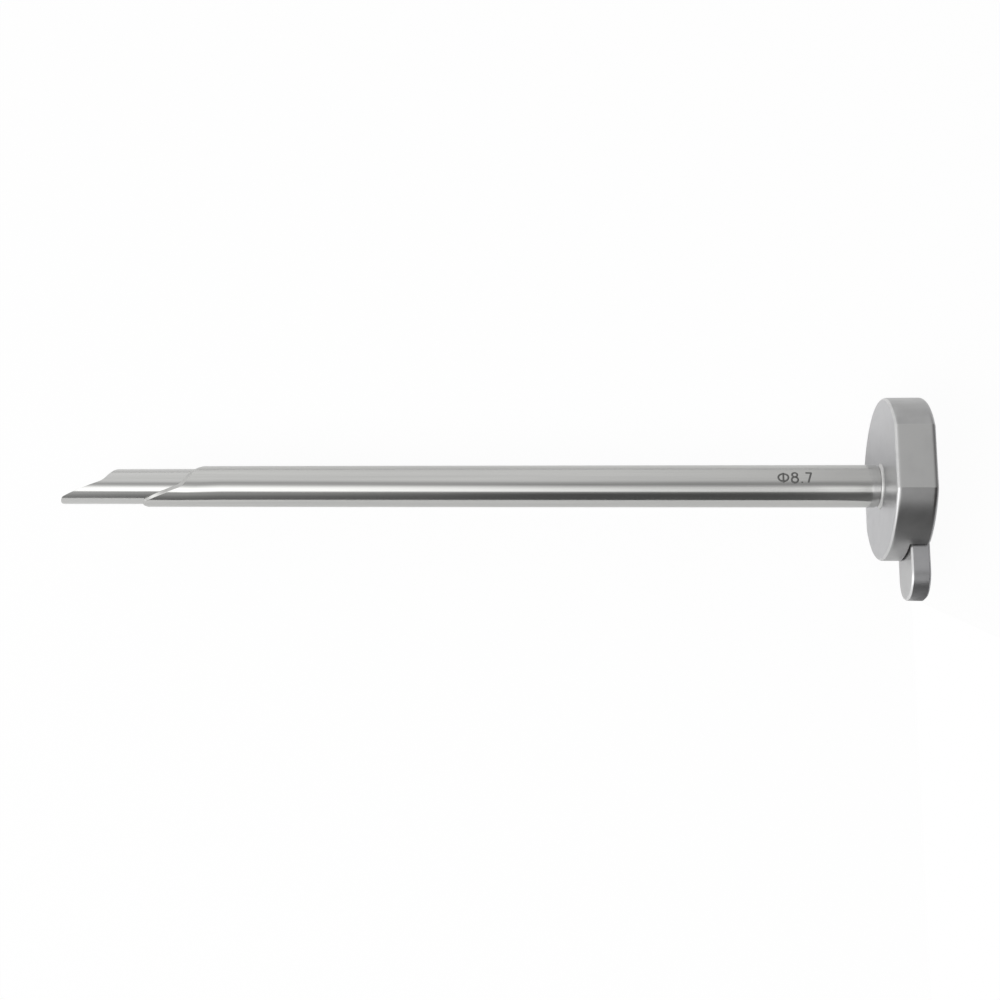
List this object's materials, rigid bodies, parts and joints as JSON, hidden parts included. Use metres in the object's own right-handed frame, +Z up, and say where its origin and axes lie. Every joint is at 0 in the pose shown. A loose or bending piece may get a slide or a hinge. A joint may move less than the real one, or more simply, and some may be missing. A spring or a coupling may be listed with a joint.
{
  "type": "trephine cannula",
  "caption": "Bevel-tipped guide tube with a flatted disc hub, around a longer bevel-tipped inner tube that draws out to the rear by its finger tab.",
  "frame": {"origin": "on the tubes' axis, in the plane of the outer hub's front face, from which the working length is measured", "axes": "+X along the bore towards the rear mouth, -Y towards the finger tab, +Z up out of the hub's upper flat"},
  "size_m": [0.1801, 0.0417, 0.0306],
  "materials": {
    "outer_tube_steel": "finely polished along the tube, with faint turning marks",
    "inner_tube_steel": "finely polished along the tube",
    "hub_steel": "satin, glass-bead blasted, with brighter chamfers",
    "inner_hub_steel": "satin, turned",
    "tab_steel": "satin, glass-bead blasted, with brighter chamfers",
    "braze": "bright, dressed smooth"
  },
  "bodies": {
    "outer_cannula": {"outer_tube": "outer_tube_steel", "outer_hub": "hub_steel", "outer_braze_ring": "braze"},
    "inner_cannula": {"inner_tube": "inner_tube_steel", "inner_hub": "inner_hub_steel", "finger_tab": "tab_steel", "inner_braze_ring": "braze"}
  },
  "joints": [
    {"name": "inner_cannula_draw", "type": "slide", "parent": "outer_cannula", "child": "inner_cannula", "axis": [1, 0, 0], "range_m": [0, 0.185]}
  ]
}
